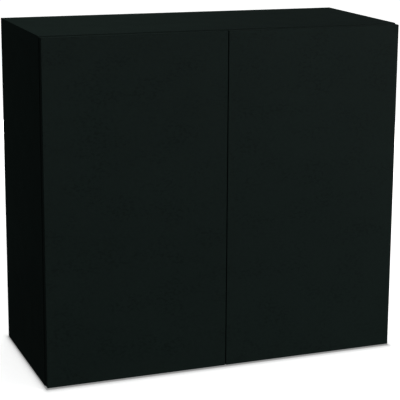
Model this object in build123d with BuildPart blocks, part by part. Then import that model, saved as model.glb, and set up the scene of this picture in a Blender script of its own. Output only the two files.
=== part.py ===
from build123d import *
import os

# Aquarium stand cabinet: a board carcass with a centre divider, two full-overlay doors on
# concealed cup hinges, and a push-to-open latch for each door. Millimetres, +Z up.
# The origin is on the floor at the centre of the footprint, and the doors face -Y.

# ---- driving dimensions ----
WIDTH = 800.0            # over the side panels
DEPTH = 352.0            # door face to back edge
HEIGHT = 738.0           # floor to top face
BOARD = 18.0             # carcass boards
BACK_BOARD = 16.0        # back panel, doors and shelf
BAND = 0.8               # ABS edge band

DOOR_STANDOFF = 2.0      # door back to carcass front
DOOR_GAP = 2.0           # between the two doors
DOOR_REVEAL = 1.0        # side panel's outer face to the door's outer edge
DOOR_BOTTOM = 3.0        # height of the door's lower edge
DOOR_DROP = 2.0          # top face to the door's upper edge
EDGE_ROUND = 0.5         # front edges of the doors' edge bands

GLIDE_H = 2.0            # pads under the uprights
GLIDE_R = 8.0
GLIDE_Y = (-140.0, 140.0)
GLIDE_CHAMFER = 0.5

# ---- clearances ----
RUNNING = 0.05           # radial, a pin or shank in its hole
LOOSE = 0.1              # radial, a fastener that drops into its hole
BUTT = 0.05              # gap where two edge bands meet
BORE_END = 0.5           # a fastener's end to the bottom of its bore

# ---- derived planes ----
OUTER_X = WIDTH / 2
INNER_X = OUTER_X - BOARD
BACK_Y = DEPTH / 2
DOOR_FACE_Y = -DEPTH / 2
DOOR_BACK_Y = DOOR_FACE_Y + BACK_BOARD
FRONT_Y = DOOR_BACK_Y + DOOR_STANDOFF
BACK_FACE_Y = BACK_Y - BACK_BOARD
BASE_Z = GLIDE_H
FLOOR_Z = BASE_Z + BOARD
TOP_Z = HEIGHT - BOARD
DOOR_TOP = HEIGHT - DOOR_DROP
DOOR_X0 = DOOR_GAP / 2
DOOR_X1 = OUTER_X - DOOR_REVEAL
HALF_BOARD = BOARD / 2
UPRIGHT_X = (-OUTER_X + HALF_BOARD, 0.0, OUTER_X - HALF_BOARD)
SIDES = (("left", -1), ("right", 1))

# ---- joinery ----
CAM_R = 7.5              # cam housing bore
CAM_DEPTH = 13.6
BACK_CAM_DEPTH = 12.4    # in the thinner back panel
CAM_REACH = 34.0         # face of the mating board to the cam's centre
CAM_SETBACK = 0.2        # cam's ends to the board's face and the bore's bottom
CAM_SLOT = (8.0, 1.2, 1.5)  # cross slot's span, width and depth
BOLT_R = 2.5
BOLT_BORE_R = 4.0
BOLT_THREAD = 11.0       # depth of the threaded end's pilot hole
BOLT_PASSAGE = CAM_REACH + 4.2  # mating face to the end of the bolt's passage in the cam
BOLT_STEPS = (           # start, end and radius, from the mating face towards the cam
    (0.0, 2.0, 3.6),     # collar
    (2.0, 26.0, 2.5),    # shank
    (26.0, 31.0, 1.6),   # neck
    (31.0, 36.0, 3.0),   # head
)
DOWEL_R = 4.0
DOWEL_IN_FACE = 10.0
DOWEL_IN_EDGE = 22.0
CAM_Y = (-110.0, 110.0)
DOWEL_Y = (-60.0, 60.0)
BACK_CAM_Z = (150.0, 600.0)
CAP_R = 8.5
CAP_T = 1.0

DIVIDER_SCREW_Y = (-100.0, 100.0)
DIVIDER_BORE_R = 3.5
DIVIDER_BORE_END = 50.0  # all heights from the bottom panel's underside
DIVIDER_SCREW_END = 48.6
DIVIDER_HEAD_R = 4.8
DIVIDER_HEAD_SINK = 0.4
COUNTERBORE_R = 5.0
COUNTERBORE_DEPTH = 4.0
HEX_SOCKET_R = 2.2
HEX_SOCKET_DEPTH = 2.4

# ---- shelf ----
PIN_R = 2.5
PIN_BORE = 12.0
PIN_ROW_STEP = 32.0
PIN_ROWS = [306.0 + PIN_ROW_STEP * row for row in range(5)]
PIN_Y = (-121.0, 103.0)
PIN_OUT = 8.0            # pin's reach into the bay
PIN_STEM_R = 1.5
TONGUE_HALF = 3.0        # flat tongue that the shelf rests on
TONGUE_T = 2.0
SHELF_ROW = PIN_ROWS[2]
SHELF_PLAY = 1.0         # shelf's ends to the uprights
SHELF_BACK_GAP = 2.0
SHELF_FRONT_Y = FRONT_Y + 20.0
SHELF_X = (HALF_BOARD + SHELF_PLAY, INNER_X - SHELF_PLAY)
SHELF_Z = (SHELF_ROW + PIN_R, SHELF_ROW + PIN_R + BACK_BOARD)

# ---- cut-outs for hoses and cables ----
CUT_W = 160.0
CUT_H = 70.0
CUT_R = 15.0
CUT_TOP_GAP = 60.0       # top of the cut-out to the underside of the top panel

# ---- screw heads: height and radius ----
PLATE_HEAD = (1.8, 4.0)
ADJUSTER_HEAD = (1.6, 3.4)
LATCH_HEAD = (1.6, 3.4)
CUP_HEAD = (1.0, 3.2)
STRIKE_HEAD = (0.7, 3.2)

# ---- cup hinge, in its own plane: u inward from the side panel's inner face, ----
# ---- v backward from the carcass front ----
HINGE_INSET = 100.0      # hinge centre to the door's upper or lower edge
HINGE_Z = (DOOR_BOTTOM + HINGE_INSET, DOOR_TOP - HINGE_INSET)
HINGES = [(side, z) for _, side in SIDES for z in HINGE_Z]
CUP_U = 5.5              # cup centre
CUP_R = 17.5
CUP_DEPTH = 12.0
CUP_WALL = 0.9
CUP_SCREW_U = CUP_U + 9.5
CUP_SCREW_Z = 22.5
EAR_HALF = 6.5           # screw ears on the cup's rim
EAR_Z = (11.0, 27.5)
EAR_MID = sum(EAR_Z) / 2
EAR_T = 0.8
EAR_ROUND = 2.5
ARM_REAR = (20.35, 13.0)  # outer link's pivot on the arm
ARM_NOSE = (16.35, -7.7)  # inner link's pivot on the arm
CUP_OUTER = (-6.8, -3.6)  # outer link's pivot in the cup
CUP_INNER = (-2.85, -7.45)  # inner link's pivot in the cup
OUTER_BULGE = 7.95
INNER_BULGE = -3.9
PIVOT_R = 1.0
PIN_PROUD = 0.5          # rear pin's end beyond the outer link
PIN_SHY = 0.15           # cup pin's end inside the bowl's outer surface
EYE_R = 2.2
LINK_HALF = 1.3
NOSE_PLAY = 1.9          # free play of the inner link's end about the nose pin
NOSE_RIM = 1.0
SLEEVE_R = 1.7           # bush that joins the outer link's two cheeks in the cup
INNER_LINK_Z = 2.6       # half thickness of the inner link
CHEEK_Z = (3.0, 5.2)     # arm cheeks, from the hinge's mid plane
OUTER_LINK_Z = (5.5, 7.2)

PLATE_V = 37.0           # mounting plate's screw line behind the carcass front
PLATE_T = 3.0
PLATE_HALF_V = 6.0
PLATE_HALF_Z = 25.0
PLATE_SCREW_Z = 16.0
PLATE_SCREW_R = 2.5
PLATE_SCREW_BORE = 12.0
RAIL_U = 7.0             # top of the rail that the arm sits on
RAIL_V = (21.0, 60.0)
RAIL_HALF = 6.5
RAIL_ROUND = 1.5

ARM_HALF = 8.0
ARM_WALL = 1.2
ARM_OUTER = [(3.2, 17.0), (23.0, 17.0), (23.0, 24.0), (18.0, 62.0), (3.2, 62.0)]
ARM_INNER = [(0.0, 16.0), (21.6, 16.0), (21.6, 24.0), (16.5, 63.0), (0.0, 63.0)]
ARM_NECK = (20.0, 24.0)
CHEEK_SPINE = ((ARM_NOSE, 2.6), (ARM_REAR, 3.2), (ARM_NECK, 3.0))  # centres and radii
ADJUSTER_V = (29.0, 50.0)
ADJUSTER_R = 2.0
ADJUSTER_HOLE_R = 2.2
ADJUSTER_HOLE_REACH = 4.0
ADJUSTER_SEAT = 0.11     # head above the arm's sloping top, at its higher side

DOOR_SCREW_R = 1.75
DOOR_SCREW_BORE = 12.5

# ---- push latch ----
LATCH_X = 28.0
LATCH_Z = TOP_Z - 9.0    # plunger's axis
LATCH_HALF = 9.0
LATCH_LENGTH = 51.0
LATCH_SETBACK = 1.0
LATCH_BORE_R = 4.2
LATCH_WALL = 3.0         # closed rear end
LATCH_ROUND = 3.0
FLANGE_HALF_X = 17.0
FLANGE_HALF_Y = 7.0
FLANGE_T = 3.0
PLUNGER_R = 3.9
PLUNGER_LENGTH = 44.0
PLUNGER_CHAMFER = 0.8
STRIKE_R = 8.0
STRIKE_T = 1.0
LATCH_SCREW_Y = FRONT_Y + 18.0
LATCH_SCREW_R = 1.75
LATCH_SCREW_BORE = 12.0
LATCH_EAR = 13.0         # latch axis to each of its screws
LATCH_SCREWS = [(side * LATCH_X + dx, LATCH_SCREW_Y) for _, side in SIDES for dx in (-LATCH_EAR, LATCH_EAR)]

os.makedirs("parts", exist_ok=True)


def save(builder, name):
    builder.part.label = name
    export_step(builder.part, f"parts/{name}.step")


# ---- shapes ----
def around(middle, half):
    return (middle - half, middle + half)


def block(x, y, z, mode=Mode.ADD):
    """A box between two coordinates on each axis."""
    centre = (sum(x) / 2, sum(y) / 2, sum(z) / 2)
    with Locations(centre):
        Box(abs(x[1] - x[0]), abs(y[1] - y[0]), abs(z[1] - z[0]), mode=mode)


def rod(plane, start, length, radius, mode=Mode.ADD):
    """A round bar along a plane's normal, from start to start + length."""
    with Locations(plane.offset(start)):
        Cylinder(radius, length, align=(Align.CENTER, Align.CENTER, Align.MIN), mode=mode)


def bore(plane, start, length, radius):
    rod(plane, start, length, radius, mode=Mode.SUBTRACT)


def cross_recess(plane, span, width, depth):
    """A cross slot sunk below the plane, along its normal."""
    for turn in (0, 90):
        with Locations(plane.rotated((0, 0, turn))):
            Box(span, width, 2 * depth, mode=Mode.SUBTRACT)


def cross_head(seat, size):
    """A round screw head with a cross recess, standing on the seat against its normal."""
    height, radius = size
    rod(seat, -height, height, radius)
    cross_recess(seat.offset(-height), 1.2 * radius, 0.22 * radius, 0.7 * height)


def along_x(x, y, z, sign):
    return Plane(origin=(x, y, z), x_dir=(0, 1, 0), z_dir=(sign, 0, 0))


def along_y(x, y, z, sign):
    return Plane(origin=(x, y, z), x_dir=(1, 0, 0), z_dir=(0, sign, 0))


def along_z(x, y, z, sign):
    return Plane(origin=(x, y, z), x_dir=(1, 0, 0), z_dir=(0, 0, sign))


# ---- joinery positions ----
# Each cam joint is the bolt's plane, at the face of the board that the bolt screws into and
# pointing at the cam, and the cam's plane, at the mouth of its bore and pointing in.
def top_cam(x, y):
    mouth_x = x + HALF_BOARD if x <= 0 else x - HALF_BOARD
    inward = -1 if x <= 0 else 1
    bolt = along_z(x, y, TOP_Z, -1)
    return bolt, along_x(mouth_x, y, TOP_Z - CAM_REACH, inward)


def floor_cam(side, y):
    bolt = along_x(side * INNER_X, y, BASE_Z + HALF_BOARD, -side)
    return bolt, along_z(side * (INNER_X - CAM_REACH), y, BASE_Z, 1)


def back_cam(side, z):
    bolt = along_x(side * INNER_X, BACK_Y - BACK_BOARD / 2, z, -side)
    return bolt, along_y(side * (INNER_X - CAM_REACH), BACK_Y, z, -1)


def top_dowel(x, y):
    return along_z(x, y, TOP_Z, -1)


def floor_dowel(side, y):
    return along_x(side * INNER_X, y, BASE_Z + HALF_BOARD, -side)


TOP_CAMS = [top_cam(x, y) for x in UPRIGHT_X for y in CAM_Y]
FLOOR_CAMS = [floor_cam(side, y) for _, side in SIDES for y in CAM_Y]
BACK_CAMS = [back_cam(side, z) for _, side in SIDES for z in BACK_CAM_Z]
ALL_CAMS = TOP_CAMS + FLOOR_CAMS + BACK_CAMS
TOP_DOWELS = [top_dowel(x, y) for x in UPRIGHT_X for y in DOWEL_Y]
FLOOR_DOWELS = [floor_dowel(side, y) for _, side in SIDES for y in DOWEL_Y]
DIVIDER_SCREWS = [along_z(0, y, BASE_Z, 1) for y in DIVIDER_SCREW_Y]


def cam_depth(joint):
    return BACK_CAM_DEPTH if joint in BACK_CAMS else CAM_DEPTH


def bore_bolt_faces(joints):
    """Pilot holes for the threads, in the board that the bolts screw into."""
    for bolt, _ in joints:
        bore(bolt, -BOLT_THREAD, BOLT_THREAD, BOLT_R)


def bore_cams(joints):
    """Cam housings and the bores that reach them from the board's edge."""
    for joint in joints:
        bolt, cam = joint
        bore(bolt, 0, CAM_REACH, BOLT_BORE_R)
        bore(cam, 0, cam_depth(joint), CAM_R)


def bore_dowel_faces(planes):
    for plane in planes:
        bore(plane, -DOWEL_IN_FACE, DOWEL_IN_FACE, DOWEL_R)


def bore_dowel_edges(planes):
    for plane in planes:
        bore(plane, 0, DOWEL_IN_EDGE, DOWEL_R)


def bore_pin_rows(x, inward):
    for z in PIN_ROWS:
        for y in PIN_Y:
            bore(along_x(x, y, z, inward), 0, PIN_BORE, PIN_R)


def hinge_point(side, point):
    """The hinge plane's u and v, as the cabinet's x and y."""
    return (side * (INNER_X - point[0]), FRONT_Y + point[1])


def plate_screws_of(side, u, sign):
    """The planes of one side's mounting plate screws, at height u above the side panel."""
    x, y = hinge_point(side, (u, PLATE_V))
    heights = [z + dz for z in HINGE_Z for dz in (-PLATE_SCREW_Z, PLATE_SCREW_Z)]
    return [along_x(x, y, z, sign) for z in heights]


# ---- carcass boards ----
with BuildPart() as top_panel:
    block((-OUTER_X + BAND, OUTER_X - BAND), (FRONT_Y + BAND, BACK_Y), (TOP_Z, HEIGHT))
    bore_bolt_faces(TOP_CAMS)
    bore_dowel_faces(TOP_DOWELS)
    for x, y in LATCH_SCREWS:
        bore(along_z(x, y, TOP_Z, 1), 0, LATCH_SCREW_BORE, LATCH_SCREW_R)
save(top_panel, "top_panel")

for name, side in SIDES:
    x_centre = side * (OUTER_X - HALF_BOARD)
    with BuildPart() as side_panel:
        block((side * INNER_X, side * OUTER_X), (FRONT_Y + BAND, BACK_Y), (BASE_Z, TOP_Z))
        bore_cams([top_cam(x_centre, y) for y in CAM_Y])
        bore_dowel_edges([top_dowel(x_centre, y) for y in DOWEL_Y])
        bore_bolt_faces([floor_cam(side, y) for y in CAM_Y])
        bore_bolt_faces([back_cam(side, z) for z in BACK_CAM_Z])
        bore_dowel_faces([floor_dowel(side, y) for y in DOWEL_Y])
        for plane in plate_screws_of(side, 0, side):
            bore(plane, 0, PLATE_SCREW_BORE, PLATE_SCREW_R)
        if side > 0:
            bore_pin_rows(INNER_X, 1)
    save(side_panel, f"{name}_side_panel")

with BuildPart() as bottom_panel:
    block((-INNER_X, INNER_X), (FRONT_Y + BAND, BACK_Y), (BASE_Z, FLOOR_Z))
    bore_cams(FLOOR_CAMS)
    bore_dowel_edges(FLOOR_DOWELS)
    for plane in DIVIDER_SCREWS:
        bore(plane, 0, BOARD, DIVIDER_BORE_R)
        bore(plane, 0, COUNTERBORE_DEPTH, COUNTERBORE_R)
save(bottom_panel, "bottom_panel")

with BuildPart() as centre_divider:
    block((-HALF_BOARD, HALF_BOARD), (FRONT_Y + BAND, BACK_FACE_Y), (FLOOR_Z, TOP_Z))
    bore_cams([top_cam(0.0, y) for y in CAM_Y])
    bore_dowel_edges([top_dowel(0.0, y) for y in DOWEL_Y])
    for plane in DIVIDER_SCREWS:
        bore(plane, BOARD, DIVIDER_BORE_END - BOARD, DIVIDER_BORE_R)
    bore_pin_rows(HALF_BOARD, -1)
save(centre_divider, "centre_divider")

with BuildPart() as back_panel:
    block((-INNER_X, INNER_X), (BACK_FACE_Y, BACK_Y), (FLOOR_Z, TOP_Z))
    cut_x = (HALF_BOARD + INNER_X) / 2
    cut_z = TOP_Z - CUT_TOP_GAP - CUT_H / 2
    with BuildSketch(Plane.XZ.offset(-BACK_Y)):
        with Locations((-cut_x, cut_z), (cut_x, cut_z)):
            RectangleRounded(CUT_W, CUT_H, CUT_R)
    extrude(amount=BACK_BOARD, mode=Mode.SUBTRACT)
    bore_cams(BACK_CAMS)
save(back_panel, "back_panel")

with BuildPart() as carcass_edging:
    front = (FRONT_Y, FRONT_Y + BAND)
    block((-OUTER_X, OUTER_X), front, (TOP_Z, HEIGHT))
    for _, side in SIDES:
        band_x = (side * (OUTER_X - BAND), side * OUTER_X)
        block(band_x, (FRONT_Y + BAND + BUTT, BACK_Y), (TOP_Z, HEIGHT))
        block((side * INNER_X, side * OUTER_X), front, (BASE_Z, TOP_Z - BUTT))
    block((-INNER_X + BUTT, INNER_X - BUTT), front, (BASE_Z, FLOOR_Z))
    block((-HALF_BOARD, HALF_BOARD), front, (FLOOR_Z + BUTT, TOP_Z - BUTT))
save(carcass_edging, "carcass_edging")

# ---- fasteners of the carcass ----
with BuildPart() as cam_locks:
    for joint in ALL_CAMS:
        rod(joint[1], CAM_SETBACK, cam_depth(joint) - 2 * CAM_SETBACK, CAM_R - LOOSE)
    for bolt, cam in ALL_CAMS:
        bore(bolt, 0, BOLT_PASSAGE, BOLT_BORE_R)
        cross_recess(cam.offset(CAM_SETBACK), *CAM_SLOT)
save(cam_locks, "cam_locks")

with BuildPart() as cam_bolts:
    for bolt, _ in ALL_CAMS:
        rod(bolt, BORE_END - BOLT_THREAD, BOLT_THREAD - BORE_END, BOLT_R - RUNNING)
        for start, end, radius in BOLT_STEPS:
            rod(bolt, start, end - start, radius)
save(cam_bolts, "cam_bolts")

with BuildPart() as cam_caps:
    for _, cam in TOP_CAMS:
        rod(cam, -CAP_T, CAP_T, CAP_R)
save(cam_caps, "cam_caps")

with BuildPart() as dowels:
    dowel_length = DOWEL_IN_FACE + DOWEL_IN_EDGE - 2 * BORE_END
    for plane in TOP_DOWELS + FLOOR_DOWELS:
        rod(plane, BORE_END - DOWEL_IN_FACE, dowel_length, DOWEL_R - RUNNING)
save(dowels, "dowels")

with BuildPart() as divider_screws:
    for plane in DIVIDER_SCREWS:
        rod(plane, DIVIDER_HEAD_SINK, COUNTERBORE_DEPTH - DIVIDER_HEAD_SINK, DIVIDER_HEAD_R)
        rod(plane, COUNTERBORE_DEPTH, DIVIDER_SCREW_END - COUNTERBORE_DEPTH, DIVIDER_BORE_R - LOOSE)
    for plane in DIVIDER_SCREWS:
        with BuildSketch(plane.offset(DIVIDER_HEAD_SINK)):
            RegularPolygon(HEX_SOCKET_R, 6)
        extrude(amount=HEX_SOCKET_DEPTH, mode=Mode.SUBTRACT)
save(divider_screws, "divider_screws")

with BuildPart() as glides:
    for x in UPRIGHT_X:
        for y in GLIDE_Y:
            rod(along_z(x, y, 0, 1), 0, GLIDE_H, GLIDE_R)
    chamfer(edges().group_by(Axis.Z)[0], GLIDE_CHAMFER)
save(glides, "glides")

# ---- shelf ----
with BuildPart() as shelf:
    block(SHELF_X, (SHELF_FRONT_Y + BAND, BACK_FACE_Y - SHELF_BACK_GAP), SHELF_Z)
save(shelf, "shelf")

with BuildPart() as shelf_edging:
    block(SHELF_X, (SHELF_FRONT_Y, SHELF_FRONT_Y + BAND), SHELF_Z)
save(shelf_edging, "shelf_edging")

with BuildPart() as shelf_pins:
    for x, inward in ((HALF_BOARD, -1), (INNER_X, 1)):
        for y in PIN_Y:
            mouth = along_x(x, y, SHELF_ROW, inward)
            rod(mouth, 0, PIN_BORE - BORE_END, PIN_R - RUNNING)
            rod(mouth, -PIN_OUT, PIN_OUT, PIN_STEM_R)
            tongue_z = (SHELF_ROW + PIN_R - TONGUE_T, SHELF_ROW + PIN_R)
            block((x, x - inward * PIN_OUT), around(y, TONGUE_HALF), tongue_z)
save(shelf_pins, "shelf_pins")


# ---- concealed hinges ----
def hinge_plane(z):
    return Plane.XY.offset(z)


def hinge_axis(side, z, pivot):
    """The plane of a hinge pin, at the hinge's mid height."""
    x, y = hinge_point(side, pivot)
    return along_z(x, y, z, 1)


def outline(side, points):
    """A polygon drawn in the hinge plane, added to the sketch."""
    Polygon(*(hinge_point(side, p) for p in points), align=None)


def bulged(side, start, end, bulge):
    """An arc between two points of the hinge plane that stands off their chord by bulge."""
    run = Vector(end[0] - start[0], end[1] - start[1])
    middle = (
        (start[0] + end[0]) / 2 - run.Y / run.length * bulge,
        (start[1] + end[1]) / 2 + run.X / run.length * bulge,
    )
    return Edge.make_three_point_arc(*(Vector(*hinge_point(side, p)) for p in (start, middle, end)))


def layers(z, span):
    """The two mirror-image layers of one hinge, as (lower plane, thickness)."""
    near, far = span
    return ((hinge_plane(z + near), far - near), (hinge_plane(z - far), far - near))


def adjuster_seat(side, z, v):
    """The plane under an adjuster's head, which clears the arm's sloping top."""
    front, rear = ARM_OUTER[2:4]
    slope = (rear[0] - front[0]) / (rear[1] - front[1])
    u = front[0] + slope * (v - ADJUSTER_HEAD[1] - front[1]) + ADJUSTER_SEAT
    x, y = hinge_point(side, (u, v))
    return along_x(x, y, z, side)


def cup_pin_reach(pivot):
    """Half the length of a cup pin, which ends just inside the bowl's outer surface."""
    offset = abs(pivot[0] - CUP_U) + PIVOT_R
    return ((CUP_R - RUNNING) ** 2 - offset**2) ** 0.5 - PIN_SHY


with BuildPart() as hinge_plates:
    for side, z in HINGES:
        x, y = hinge_point(side, (0, PLATE_V))
        rail_y = (FRONT_Y + RAIL_V[0], FRONT_Y + RAIL_V[1])
        block((x, x - side * PLATE_T), around(y, PLATE_HALF_V), around(z, PLATE_HALF_Z))
        block((x, x - side * RAIL_U), rail_y, around(z, RAIL_HALF))
    for _, side in SIDES:
        for plane in plate_screws_of(side, 0, -side):
            bore(plane, 0, PLATE_T, PLATE_SCREW_R + LOOSE)
    fillet(edges().filter_by(Axis.X).group_by(SortBy.LENGTH)[-1], RAIL_ROUND)
save(hinge_plates, "hinge_plates")

with BuildPart() as plate_screws:
    for _, side in SIDES:
        for seat in plate_screws_of(side, PLATE_T, side):
            rod(seat, 0, PLATE_T + PLATE_SCREW_BORE - BORE_END, PLATE_SCREW_R)
            cross_head(seat, PLATE_HEAD)
save(plate_screws, "plate_screws")

with BuildPart() as hinge_arms:
    for side, z in HINGES:
        with BuildSketch(hinge_plane(z - ARM_HALF)):
            outline(side, ARM_OUTER)
        extrude(amount=2 * ARM_HALF)
        inner = ARM_HALF - ARM_WALL
        with BuildSketch(hinge_plane(z - inner)):
            outline(side, ARM_INNER)
        extrude(amount=2 * inner, mode=Mode.SUBTRACT)
        for plane, thick in layers(z, CHEEK_Z):
            for start, end in zip(CHEEK_SPINE, CHEEK_SPINE[1:]):
                with BuildSketch(plane):
                    for centre, radius in (start, end):
                        with Locations(hinge_point(side, centre)):
                            Circle(radius)
                    make_hull()
                extrude(amount=thick)
        for v in ADJUSTER_V:
            seat = adjuster_seat(side, z, v)
            bore(seat, -ADJUSTER_HOLE_REACH, 2 * ADJUSTER_HOLE_REACH, ADJUSTER_HOLE_R)
        for pivot in (ARM_NOSE, ARM_REAR):
            bore(hinge_axis(side, z, pivot), -ARM_HALF, 2 * ARM_HALF, PIVOT_R)
save(hinge_arms, "hinge_arms")

with BuildPart() as arm_pins:
    for side, z in HINGES:
        for pivot, reach in ((ARM_NOSE, CHEEK_Z[1]), (ARM_REAR, OUTER_LINK_Z[1] + PIN_PROUD)):
            rod(hinge_axis(side, z, pivot), -reach, 2 * reach, PIVOT_R)
save(arm_pins, "arm_pins")

with BuildPart() as hinge_adjusters:
    for side, z in HINGES:
        for v in ADJUSTER_V:
            seat = adjuster_seat(side, z, v)
            rod(seat, 0, INNER_X - RAIL_U - abs(seat.origin.X), ADJUSTER_R)
            cross_head(seat, ADJUSTER_HEAD)
save(hinge_adjusters, "hinge_adjusters")

# ---- latches in the carcass ----
with BuildPart() as latch_housings:
    for _, side in SIDES:
        x = side * LATCH_X
        front_y = FRONT_Y + LATCH_SETBACK
        case_y = (front_y, front_y + LATCH_LENGTH)
        block(around(x, LATCH_HALF), case_y, (LATCH_Z - LATCH_HALF, TOP_Z))
        flange_y = around(LATCH_SCREW_Y, FLANGE_HALF_Y)
        block(around(x, FLANGE_HALF_X), flange_y, (TOP_Z - FLANGE_T, TOP_Z))
    fillet(edges().filter_by(Axis.Y).group_by(Axis.Z)[0], LATCH_ROUND)
    for _, side in SIDES:
        mouth = along_y(side * LATCH_X, FRONT_Y + LATCH_SETBACK, LATCH_Z, 1)
        bore(mouth, 0, LATCH_LENGTH - LATCH_WALL, LATCH_BORE_R)
    for x, y in LATCH_SCREWS:
        bore(along_z(x, y, TOP_Z - FLANGE_T, 1), 0, FLANGE_T, LATCH_SCREW_R + RUNNING)
save(latch_housings, "latch_housings")

with BuildPart() as latch_screws:
    for x, y in LATCH_SCREWS:
        seat = along_z(x, y, TOP_Z - FLANGE_T, 1)
        rod(seat, 0, FLANGE_T + LATCH_SCREW_BORE - BORE_END, LATCH_SCREW_R)
        cross_head(seat, LATCH_HEAD)
save(latch_screws, "latch_screws")

for name, side in SIDES:
    with BuildPart() as plunger:
        tip = along_y(side * LATCH_X, DOOR_BACK_Y + STRIKE_T + RUNNING, LATCH_Z, 1)
        rod(tip, 0, PLUNGER_LENGTH, PLUNGER_R)
        chamfer(edges().group_by(Axis.Y)[0], PLUNGER_CHAMFER)
    save(plunger, f"{name}_latch_plunger")

# ---- doors ----
for name, side in SIDES:
    door_x = (side * DOOR_X0, side * DOOR_X1)
    core_x = (side * (DOOR_X0 + BAND), side * (DOOR_X1 - BAND))
    slab_y = (DOOR_FACE_Y, DOOR_BACK_Y)
    core_z = (DOOR_BOTTOM + BAND, DOOR_TOP - BAND)
    cup_x = hinge_point(side, (CUP_U, 0))[0]
    cup_screw_x = hinge_point(side, (CUP_SCREW_U, 0))[0]
    bowls = [along_y(cup_x, DOOR_BACK_Y, z, -1) for z in HINGE_Z]
    screw_z = [z + dz for z in HINGE_Z for dz in (-CUP_SCREW_Z, CUP_SCREW_Z)]
    cup_shafts = [along_y(cup_screw_x, DOOR_BACK_Y, z, -1) for z in screw_z]
    strike = along_y(side * LATCH_X, DOOR_BACK_Y, LATCH_Z, -1)

    with BuildPart() as door_panel:
        block(core_x, slab_y, core_z)
        for bowl in bowls:
            bore(bowl, 0, CUP_DEPTH + BORE_END, CUP_R)
        for shaft in cup_shafts + [strike]:
            bore(shaft, 0, DOOR_SCREW_BORE, DOOR_SCREW_R)
    save(door_panel, f"{name}_door_panel")

    with BuildPart() as door_edging:
        for x in ((door_x[0], core_x[0]), (core_x[1], door_x[1])):
            block(x, slab_y, (DOOR_BOTTOM, DOOR_TOP))
        for z in ((DOOR_BOTTOM, core_z[0]), (core_z[1], DOOR_TOP)):
            block((core_x[0] + side * BUTT, core_x[1] - side * BUTT), slab_y, z)
        fronts = edges().filter_by(Axis.Z).group_by(Axis.Y)[0].sort_by(Axis.X)
        fillet([fronts[0], fronts[-1]], EDGE_ROUND)
        fronts = edges().filter_by(Axis.X).group_by(Axis.Y)[0].sort_by(Axis.Z)
        fillet([fronts[0], fronts[-1]], EDGE_ROUND)
    save(door_edging, f"{name}_door_edging")

    with BuildPart() as hinge_cups:
        for z, bowl in zip(HINGE_Z, bowls):
            rod(bowl, 0, CUP_DEPTH, CUP_R - RUNNING)
            with BuildSketch(Plane.XZ.offset(-DOOR_BACK_Y)):
                with Locations((cup_screw_x, z - EAR_MID), (cup_screw_x, z + EAR_MID)):
                    RectangleRounded(2 * EAR_HALF, EAR_Z[1] - EAR_Z[0], EAR_ROUND)
            extrude(amount=-EAR_T)
        for z, bowl in zip(HINGE_Z, bowls):
            bore(bowl, -EAR_T, CUP_DEPTH, CUP_R - CUP_WALL)
            for pivot in (CUP_OUTER, CUP_INNER):
                bore(hinge_axis(side, z, pivot), -CUP_R, 2 * CUP_R, PIVOT_R)
        for shaft in cup_shafts:
            bore(shaft, -EAR_T, EAR_T, DOOR_SCREW_R + RUNNING)
    save(hinge_cups, f"{name}_hinge_cups")

    with BuildPart() as cup_pins:
        for z in HINGE_Z:
            for pivot in (CUP_OUTER, CUP_INNER):
                reach = cup_pin_reach(pivot)
                rod(hinge_axis(side, z, pivot), -reach, 2 * reach, PIVOT_R)
    save(cup_pins, f"{name}_cup_pins")

    with BuildPart() as cup_screws:
        for shaft in cup_shafts:
            seat = shaft.offset(-EAR_T)
            rod(seat, 0, EAR_T + DOOR_SCREW_BORE - BORE_END, DOOR_SCREW_R)
            cross_head(seat, CUP_HEAD)
    save(cup_screws, f"{name}_cup_screws")

    with BuildPart() as strike_plate:
        rod(strike, -STRIKE_T, STRIKE_T, STRIKE_R)
        bore(strike, -STRIKE_T, STRIKE_T, DOOR_SCREW_R + RUNNING)
        bore(strike, -STRIKE_T, STRIKE_HEAD[0], STRIKE_HEAD[1] + LOOSE)
    save(strike_plate, f"{name}_strike_plate")

    with BuildPart() as strike_screw:
        shank_start = STRIKE_HEAD[0] - STRIKE_T
        rod(strike, shank_start, DOOR_SCREW_BORE - BORE_END - shank_start, DOOR_SCREW_R)
        rod(strike, -STRIKE_T, *STRIKE_HEAD)
    save(strike_screw, f"{name}_strike_screw")

    with BuildPart() as outer_links:
        for z in HINGE_Z:
            for plane, thick in layers(z, OUTER_LINK_Z):
                with BuildSketch(plane):
                    SlotArc(bulged(side, ARM_REAR, CUP_OUTER, OUTER_BULGE), 2 * LINK_HALF)
                    with Locations(hinge_point(side, ARM_REAR), hinge_point(side, CUP_OUTER)):
                        Circle(EYE_R)
                extrude(amount=thick)
            rod(hinge_axis(side, z, CUP_OUTER), -OUTER_LINK_Z[1], 2 * OUTER_LINK_Z[1], SLEEVE_R)
            for pivot in (ARM_REAR, CUP_OUTER):
                bore(hinge_axis(side, z, pivot), -CUP_R, 2 * CUP_R, PIVOT_R + RUNNING)
    save(outer_links, f"{name}_outer_links")

    with BuildPart() as inner_links:
        for z in HINGE_Z:
            with BuildSketch(hinge_plane(z - INNER_LINK_Z)):
                SlotArc(bulged(side, CUP_INNER, ARM_NOSE, INNER_BULGE), 2 * LINK_HALF)
                with Locations(hinge_point(side, CUP_INNER)):
                    Circle(EYE_R)
                    Circle(PIVOT_R + RUNNING, mode=Mode.SUBTRACT)
                with Locations(hinge_point(side, ARM_NOSE)):
                    Circle(PIVOT_R + NOSE_PLAY + NOSE_RIM)
                    Circle(PIVOT_R + NOSE_PLAY, mode=Mode.SUBTRACT)
            extrude(amount=2 * INNER_LINK_Z)
    save(inner_links, f"{name}_inner_links")
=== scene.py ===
import math

import bpy
from mathutils import Matrix, Vector


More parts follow.
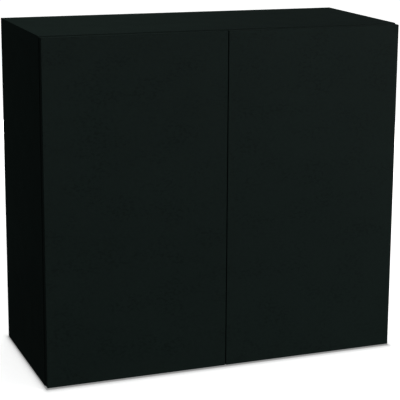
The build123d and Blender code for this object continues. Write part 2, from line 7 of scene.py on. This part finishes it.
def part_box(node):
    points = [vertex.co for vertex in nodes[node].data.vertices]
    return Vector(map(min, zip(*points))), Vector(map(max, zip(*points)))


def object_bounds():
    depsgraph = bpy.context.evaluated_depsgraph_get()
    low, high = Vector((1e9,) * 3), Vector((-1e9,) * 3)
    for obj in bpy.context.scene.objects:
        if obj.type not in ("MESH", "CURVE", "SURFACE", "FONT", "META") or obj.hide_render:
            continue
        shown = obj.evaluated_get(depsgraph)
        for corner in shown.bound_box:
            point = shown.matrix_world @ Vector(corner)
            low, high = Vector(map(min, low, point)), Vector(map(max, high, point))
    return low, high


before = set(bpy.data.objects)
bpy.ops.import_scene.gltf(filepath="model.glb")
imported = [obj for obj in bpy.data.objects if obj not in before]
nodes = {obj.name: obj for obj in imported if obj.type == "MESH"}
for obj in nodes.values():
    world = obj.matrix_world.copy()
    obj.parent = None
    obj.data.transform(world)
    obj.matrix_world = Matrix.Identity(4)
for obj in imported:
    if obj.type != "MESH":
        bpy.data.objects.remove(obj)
cad_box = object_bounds()

# Lengths are metres in the row frame: +X right along the front, +Y to the back, +Z up.
X, Y, Z = range(3)

# ---- boards and bands ----
SKIN = 0.0003  # the melamine paper on each face of a board
FLAKE = 0.0024  # size of the chipboard's flakes
FLAKE_ASPECT = 2.6  # how many times wider than thick a flake is
CHIPBOARD_ROUGHNESS = 0.86
BLACK = (0.0089, 0.0159, 0.0139)
BLACK_EDGE = (0.0086, 0.0154, 0.0135)
SATIN = 0.07  # specular level of the black boards and bands

# ---- plastics ----
BLACK_PLASTIC = (0.0150, 0.0158, 0.0165)
GLIDE_GREY = (0.050, 0.050, 0.050)
BUFFER_GREY = (0.42, 0.43, 0.44)

# ---- how far the edges of each kind of piece are rounded ----
TRIMMED_EDGE = 0.00015
STAMPED_EDGE = 0.0003
CAST_EDGE = 0.0005
SHARP_ANGLE = math.radians(40)  # an edge that turns by more than this is rounded
WELD_GAP = 0.000002  # points closer than this are one point

# ---- stage ----
STAGE_RADIUS = 20.0
STAGE_SIDES = 64
DOME_ANGLES = (0.0, 0.3, 0.7, 1.1, 1.5)  # radians above the floor at which the dome has a ring
DOME_SINK = 0.01  # how far the dome starts below the floor
FLOOR_WHITE = (0.82, 0.82, 0.82)
FLOOR_GLOW = 1.0  # the floor is a light table: what it gives off by itself
BACKDROP_GLOW = 1.02  # just over white, so that it shows as plain white
# The floor's contact shadow is painted shade in its colour, not cast by the lamps.
PAINTED_SHADOW_REACH = {X: 0.0050, Y: 0.0095}  # how far past the cabinet the painted shadow is down to a third
PAINTED_SHADOW_DEPTH = 0.72  # how black the painted shadow is where the cabinet stands, from 0 to 1
PAINTED_SHADOW_BLACK = (0.02, 0.02, 0.02)

# ---- light ----
MIDDLE = (0.0, 0.0, 0.37)  # where a lamp aims, unless it has an aim of its own
TOP_FACE = (0.0, 0.0, 0.73)
SHEEN = (0.55, 1.0, 0.80)  # cool tint of the two small lamps that graze the boards
SKY = (0.80, 1.0, 0.96, 1.0)
SKY_STRENGTH = 0.049

# ---- camera ----
CAMERA_PLACE = (-1.072, -2.870, 1.090)
YAW = math.radians(22.22)
PITCH = math.radians(-12.42)
ROLL = math.radians(0.68)
SENSOR_MM = 36.0
LENS_MM = 126.0
SHIFT_X = -0.10
SHIFT_Y = -0.0875


# ---- materials ----
class Finish:
    """One material's nodes, with a short call for each kind that the finishes share."""

    def __init__(self, name, metallic=0.0, specular=0.5):
        self.material = bpy.data.materials.new(name)
        self.material.use_nodes = True
        self.tree = self.material.node_tree
        self.shader = self.tree.nodes["Principled BSDF"]
        self.place = self.node("ShaderNodeTexCoord", {}, "Object")
        self.dress({"Metallic": metallic, "Specular IOR Level": specular})

    def give(self, sockets, values):
        """Puts each value on the socket of its name, and links it there if it comes from a node."""
        for name, value in values.items():
            if isinstance(value, bpy.types.NodeSocket):
                self.tree.links.new(value, sockets[name])
            else:
                sockets[name].default_value = value

    def dress(self, values):
        """Puts values on the shader, and returns the material."""
        self.give(self.shader.inputs, values)
        return self.material

    def surface(self, colour, roughness, height, relief):
        """Puts colour, roughness and a bump of height times relief metres on the shader."""
        bump = self.node("ShaderNodeBump", {"Height": height, "Distance": relief, "Strength": 1.0})
        return self.dress({"Base Color": colour, "Roughness": roughness, "Normal": bump})

    def node(self, kind, inputs, output=0, **settings):
        """Adds a node with these values on its inputs, and returns one of its outputs."""
        made = self.tree.nodes.new(kind)
        for name, value in settings.items():
            setattr(made, name, value)
        self.give(made.inputs, inputs)
        return made.outputs[output]

    def math(self, operation, a, b=0.0):
        return self.node("ShaderNodeMath", {0: a, 1: b}, operation=operation)

    def share(self, part, a, b):
        """The given part of a, and the rest of b."""
        return self.math("ADD", self.math("MULTIPLY", a, part), self.math("MULTIPLY", b, 1 - part))

    def stretched(self, scale):
        """The place with scaled axes: a texture is drawn out along an axis scaled below 1."""
        return self.node("ShaderNodeMapping", {"Vector": self.place, "Scale": scale})

    def past(self, box, axis):
        """How far a place is past the faces of a box along one axis, and below 0 between them."""
        low, high = box[0][axis], box[1][axis]
        along = self.node("ShaderNodeSeparateXYZ", {0: self.place}, axis)
        from_middle = self.math("ABSOLUTE", self.math("SUBTRACT", along, (low + high) / 2))
        return self.math("SUBTRACT", from_middle, (high - low) / 2)

    def noise(self, size, detail=2.0, place=None):
        """Soft noise from 0 to 1 whose blotches are about size metres across."""
        inputs = {"Vector": place or self.place, "Scale": 1 / size, "Detail": detail}
        return self.node("ShaderNodeTexNoise", inputs, "Fac")

    def between(self, value, low, high, start=0.3, end=0.7):
        """A number that goes from low to high as value goes from start to end."""
        inputs = {"From Min": start, "From Max": end, "To Min": low, "To Max": high}
        return self.node("ShaderNodeMapRange", {"Value": value, **inputs})

    def mix(self, factor, a, b):
        """Colour a where factor is 0, and colour b where it is 1."""
        inputs = {0: factor, 6: rgba(a), 7: rgba(b)}  # 6 and 7 are the node's two colours
        return self.node("ShaderNodeMix", inputs, 2, data_type="RGBA")

    def ramp(self, value, *stops):
        """A colour ramp over value, through (position, colour) stops."""
        output = self.node("ShaderNodeValToRGB", {"Fac": value})
        points = output.node.color_ramp.elements
        while len(points) < len(stops):
            points.new(0.5)
        for point, (position, colour) in zip(points, stops):
            point.position = position
            point.color = rgba(colour)
        return output


def rgba(colour):
    """A colour as a socket takes it; a socket passes straight through."""
    return colour if isinstance(colour, bpy.types.NodeSocket) else (*colour, 1.0)


def shade(colour, factor):
    """A colour made darker or lighter by a factor."""
    return tuple(channel * factor for channel in colour)


def melamine(finish):
    """Colour, roughness and height of satin black melamine: fine pearl, and level drifts of specks."""
    cloud = finish.noise(0.22, 3.0)
    mottle = finish.noise(0.006, 2.0)
    pearl = finish.noise(0.0011, 1.0)
    tone = finish.share(0.4, cloud, mottle)
    clean = finish.ramp(tone, (0.30, shade(BLACK, 0.92)), (0.70, shade(BLACK, 1.17)))
    level = finish.stretched((0.6, 0.6, 1.0))
    speck = finish.between(finish.noise(0.0050, 1.0, level), 0.0, 1.0, start=0.53, end=0.60)
    drift = finish.between(finish.noise(0.050, 4.0, level), 0.05, 0.33, start=0.45, end=0.60)
    colour = finish.mix(finish.math("MULTIPLY", speck, drift), clean, shade(BLACK, 0.2))
    handled = finish.between(finish.noise(0.05, 4.0), 0.56, 0.60)
    roughness = finish.math("ADD", handled, finish.between(pearl, -0.02, 0.02))
    return colour, roughness, finish.math("MULTIPLY", pearl, 0.05)


def chipboard(finish, axis):
    """Colour and height of raw chipboard, with its flakes lying flat in the board."""
    flat = [1.0, 1.0, 1.0]
    flat[axis] = FLAKE_ASPECT
    place = finish.stretched(flat)
    wander = finish.noise(0.004, 3.0, place)
    step = finish.math("MULTIPLY", wander, 0.003)
    aside = finish.node("ShaderNodeCombineXYZ", {X: step, Y: step, Z: step})
    shaken = finish.node("ShaderNodeVectorMath", {0: place, 1: aside}, operation="ADD")
    flake = finish.node("ShaderNodeTexVoronoi", {"Vector": shaken, "Scale": 1 / FLAKE}, "Color")
    tone = finish.share(0.65, finish.node("ShaderNodeSeparateColor", {0: flake}), wander)
    colour = finish.ramp(
        tone,
        (0.10, (0.115, 0.062, 0.030)),
        (0.40, (0.290, 0.178, 0.092)),
        (0.62, (0.420, 0.280, 0.155)),
        (0.90, (0.600, 0.440, 0.270)),
    )
    return colour, tone


def board(name, node, axis):
    """A melamine-faced board: its two faces are black, and its cuts and bores show chipboard."""
    finish = Finish(name, specular=SATIN)
    cut = finish.math("LESS_THAN", finish.past(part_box(node), axis), -SKIN)
    face_colour, face_roughness, face_height = melamine(finish)
    core_colour, core_height = chipboard(finish, axis)
    core_roughness = finish.math("MULTIPLY", cut, CHIPBOARD_ROUGHNESS)
    colour = finish.mix(cut, face_colour, core_colour)
    roughness = finish.math("MAXIMUM", face_roughness, core_roughness)
    height = finish.math("MAXIMUM", face_height, finish.math("MULTIPLY", cut, core_height))
    return finish.surface(colour, roughness, height, relief=0.0004)


def edge_band(name):
    """ABS edge band: a little smoother than the boards, with faint lengthwise drawing lines."""
    finish = Finish(name, specular=SATIN)
    drawn = finish.noise(0.0006, 2.0, finish.stretched((1.0, 1.0, 0.05)))
    cloud = finish.noise(0.18, 3.0)
    colour = finish.ramp(cloud, (0.25, shade(BLACK_EDGE, 0.94)), (0.75, shade(BLACK_EDGE, 1.07)))
    return finish.surface(colour, finish.between(drawn, 0.52, 0.60), drawn, relief=0.00001)


def nickel(name, rough=0.27):
    """Nickel-plated steel: bright satin, with fine rolling lines and a few dull patches."""
    finish = Finish(name, metallic=1.0)
    rolled = finish.noise(0.0004, 3.0, finish.stretched((0.12, 1.0, 1.0)))
    patch = finish.noise(0.012, 4.0)
    colour = finish.ramp(patch, (0.30, (0.560, 0.555, 0.535)), (0.70, (0.700, 0.695, 0.670)))
    dull = finish.between(patch, rough, rough + 0.12)
    roughness = finish.math("ADD", dull, finish.between(rolled, -0.03, 0.03))
    return finish.surface(colour, roughness, rolled, relief=0.000006)


def zinc(name):
    """Die-cast zinc: dull grey with the grain of the mould."""
    finish = Finish(name, metallic=1.0)
    grain = finish.noise(0.0009, 4.0)
    patch = finish.noise(0.008, 3.0)
    colour = finish.ramp(patch, (0.25, (0.360, 0.362, 0.360)), (0.75, (0.540, 0.540, 0.530)))
    return finish.surface(colour, finish.between(grain, 0.40, 0.60), grain, relief=0.00003)


def moulded(name, colour, rough=0.46):
    """Moulded plastic with a fine spark-eroded texture."""
    finish = Finish(name, specular=0.4)
    spark = finish.noise(0.0005, 3.0)
    flow = finish.noise(0.02, 3.0)
    tint = finish.ramp(flow, (0.25, shade(colour, 0.90)), (0.75, shade(colour, 1.10)))
    return finish.surface(tint, finish.between(spark, rough, rough + 0.14), spark, relief=0.00002)


def beech(name):
    """Raw beech, with its grain along the dowel and short dark rays."""
    finish = Finish(name, specular=0.3)
    grain = finish.noise(0.0012, 4.0, finish.stretched((1.0, 1.0, 0.15)))
    ray = finish.noise(0.0008, 2.0, finish.stretched((0.4, 1.0, 0.3)))
    wood = finish.ramp(
        grain,
        (0.30, (0.480, 0.310, 0.170)),
        (0.55, (0.620, 0.440, 0.260)),
        (0.75, (0.700, 0.520, 0.330)),
    )
    fleck = finish.between(ray, 0.0, 0.5, start=0.60, end=0.75)
    colour = finish.mix(fleck, wood, (0.330, 0.190, 0.090))
    return finish.surface(colour, finish.between(grain, 0.62, 0.78), grain, relief=0.00005)


def put_on(material, *names):
    """Makes this the one material of CAD nodes."""
    for name in names:
        slots = nodes[name].data.materials
        slots.clear()
        slots.append(material)


def soften(width, *names):
    """Rounds the edges of CAD nodes, as stamping, casting or trimming leaves them."""
    for name in names:
        weld = nodes[name].modifiers.new("weld", "WELD")
        weld.merge_threshold = WELD_GAP
        bevel = nodes[name].modifiers.new("bevel", "BEVEL")
        bevel.width = width
        bevel.segments = 2
        bevel.limit_method = "ANGLE"
        bevel.angle_limit = SHARP_ANGLE
        bevel.use_clamp_overlap = True
        nodes[name].modifiers.new("normals", "WEIGHTED_NORMAL")


def of_pair(*parts):
    """The names of parts that the left door and the right door each have."""
    return [f"{side}_{part}" for side in ("left", "right") for part in parts]


# Each board with the axis that it is thin along.
BOARDS = {
    "top_panel": Z,
    "bottom_panel": Z,
    "shelf": Z,
    "left_side_panel": X,
    "right_side_panel": X,
    "centre_divider": X,
    "back_panel": Y,
    "left_door_panel": Y,
    "right_door_panel": Y,
}
EDGING = ["carcass_edging", "shelf_edging", *of_pair("door_edging")]
CASTINGS = ["cam_locks", "hinge_plates"]
PRESSINGS = ["hinge_arms", "shelf_pins"]
PRESSINGS += of_pair("hinge_cups", "outer_links", "inner_links", "strike_plate")
PINS = ["arm_pins", *of_pair("cup_pins")]
SCREWS = ["cam_bolts", "divider_screws", "plate_screws", "hinge_adjusters", "latch_screws"]
SCREWS += of_pair("cup_screws", "strike_screw")
MOULDINGS = ["latch_housings", "cam_caps"]
PLUNGERS = of_pair("latch_plunger")

for node, axis in BOARDS.items():
    put_on(board(f"{node}_melamine", node, axis), node)
put_on(edge_band("abs_edge_band"), *EDGING)
put_on(zinc("die_cast_zinc"), *CASTINGS)
put_on(nickel("nickel_plated_steel"), *PRESSINGS)
put_on(nickel("bright_screws", rough=0.20), *PINS, *SCREWS)
put_on(moulded("black_plastic", BLACK_PLASTIC), *MOULDINGS)
put_on(moulded("glide_plastic", GLIDE_GREY, rough=0.55), "glides")
put_on(moulded("buffer_plastic", BUFFER_GREY, rough=0.40), *PLUNGERS)
put_on(beech("raw_beech"), "dowels")

soften(TRIMMED_EDGE, *EDGING, *PINS)
soften(STAMPED_EDGE, *PRESSINGS, *SCREWS)
soften(CAST_EDGE, *CASTINGS, *MOULDINGS, *PLUNGERS, "dowels")


# ---- stage ----
def put_in_scene(name, data):
    made = bpy.data.objects.new(name, data)
    bpy.context.scene.collection.objects.link(made)
    return made


def mesh_object(name, vertices, faces, material):
    mesh = bpy.data.meshes.new(name)
    mesh.from_pydata(vertices, [], faces)
    mesh.materials.append(material)
    return put_in_scene(name, mesh)


def hide_from(thing, *rays):
    """Hides a thing from kinds of ray, such as those that mirror it or take light from it."""
    for ray in rays:
        setattr(thing, f"visible_{ray}", False)


def floor_material():
    """Pale floor with a contact shadow painted into its colour where the cabinet's foot stands."""
    finish = Finish("pale_floor", specular=0.0)
    squares = []
    for axis, reach in PAINTED_SHADOW_REACH.items():
        away = finish.math("MAXIMUM", finish.past(cad_box, axis), 0.0)
        squares.append(finish.math("POWER", finish.math("DIVIDE", away, reach), 2.0))
    distance = finish.math("SQRT", finish.math("ADD", *squares))
    painted_shadow_fade = finish.math("POWER", math.exp(-1), distance)  # painted shadow: 1 at the foot, a third at one reach
    # The painted shadow darkens the floor's colour and its glow alike.
    colour = finish.mix(finish.math("MULTIPLY", painted_shadow_fade, PAINTED_SHADOW_DEPTH), FLOOR_WHITE, PAINTED_SHADOW_BLACK)
    glow = {"Emission Color": colour, "Emission Strength": FLOOR_GLOW}
    return finish.dress({"Base Color": colour, "Roughness": 1.0, **glow})


def backdrop_material():
    """White that gives off light evenly and takes none."""
    finish = Finish("white_backdrop", specular=0.0)
    glow = {"Emission Color": (1, 1, 1, 1), "Emission Strength": BACKDROP_GLOW}
    return finish.dress({"Base Color": (0, 0, 0, 1), **glow})


def ring(radius, z):
    """Points round the Z axis at one height."""
    turns = [2 * math.pi * i / STAGE_SIDES for i in range(STAGE_SIDES)]
    return [(radius * math.cos(a), radius * math.sin(a), z) for a in turns]


def dome():
    """Points and faces of the backdrop: rings that close in as they rise, and a flat cap."""
    points = []
    for angle in DOME_ANGLES:
        points += ring(math.cos(angle) * STAGE_RADIUS, math.sin(angle) * STAGE_RADIUS - DOME_SINK)
    top_ring = len(points) - STAGE_SIDES
    faces = []
    for start in range(0, top_ring, STAGE_SIDES):
        for i in range(STAGE_SIDES):
            a, b = start + i, start + (i + 1) % STAGE_SIDES
            faces.append((a, b, b + STAGE_SIDES, a + STAGE_SIDES))
    return points, [*faces, tuple(range(top_ring, len(points)))]


floor = mesh_object("floor", ring(STAGE_RADIUS, 0.0), [tuple(range(STAGE_SIDES))], floor_material())
hide_from(floor, "glossy", "diffuse")
backdrop = mesh_object("backdrop", *dome(), backdrop_material())
hide_from(backdrop, "glossy", "diffuse", "transmission", "shadow")


# ---- light ----
def lamp(name, kind, place, aim=MIDDLE, **settings):
    """A lamp at place that shines at aim, and that the camera doesn't see."""
    light = bpy.data.lights.new(name, kind)
    for key, value in settings.items():
        setattr(light, key, value)
    made = put_in_scene(name, light)
    made.location = place
    made.rotation_euler = (Vector(aim) - Vector(place)).to_track_quat("-Z", "Y").to_euler()
    made.visible_camera = False


lamp("overhead_softbox", "SUN", (1.2, -0.7, 4.0), energy=0.97, angle=math.radians(90))
lamp("key_softbox", "AREA", (3.0, -2.6, 1.2), energy=50.0, size=1.5)
lamp("front_fill", "AREA", (0.3, -7.0, 1.2), energy=83.0, size=3.0)
lamp("top_sheen", "AREA", (0.4, 3.0, 2.2), TOP_FACE, energy=0.785, size=1.2, color=SHEEN)

# Behind the cabinet and just outside its left side, so that it grazes that side's face.
strip = {"shape": "RECTANGLE", "size": 0.04, "size_y": 0.70, "color": SHEEN}
lamp("rear_strip", "AREA", (-0.47, 0.50, 0.42), (-0.40, 0.10, 0.42), energy=0.0078, **strip)

# Lower than the top panel and clear of the left side, so it lights only the back and the right.
rear = {"shape": "RECTANGLE", "size": 1.6, "size_y": 0.68}
lamp("rear_fill", "AREA", (0.9, 2.6, 0.36), (0.0, 0.18, 0.36), energy=30.0, **rear)

world = bpy.data.worlds.new("studio")
world.use_nodes = True
background = world.node_tree.nodes["Background"]
background.inputs["Color"].default_value = SKY
background.inputs["Strength"].default_value = SKY_STRENGTH
bpy.context.scene.world = world

# ---- camera ----
camera_data = bpy.data.cameras.new("camera")
camera_data.sensor_width = SENSOR_MM
camera_data.lens = LENS_MM
camera_data.shift_x = SHIFT_X
camera_data.shift_y = SHIFT_Y
camera_data.clip_end = 3 * STAGE_RADIUS
camera = put_in_scene("camera", camera_data)
turn = (
    Matrix.Rotation(-YAW, 4, "Z")
    @ Matrix.Rotation(math.pi / 2 + PITCH, 4, "X")
    @ Matrix.Rotation(ROLL, 4, "Z")
)
camera.matrix_world = Matrix.Translation(CAMERA_PLACE) @ turn
bpy.context.scene.camera = camera
bpy.context.scene.view_settings.view_transform = "Standard"
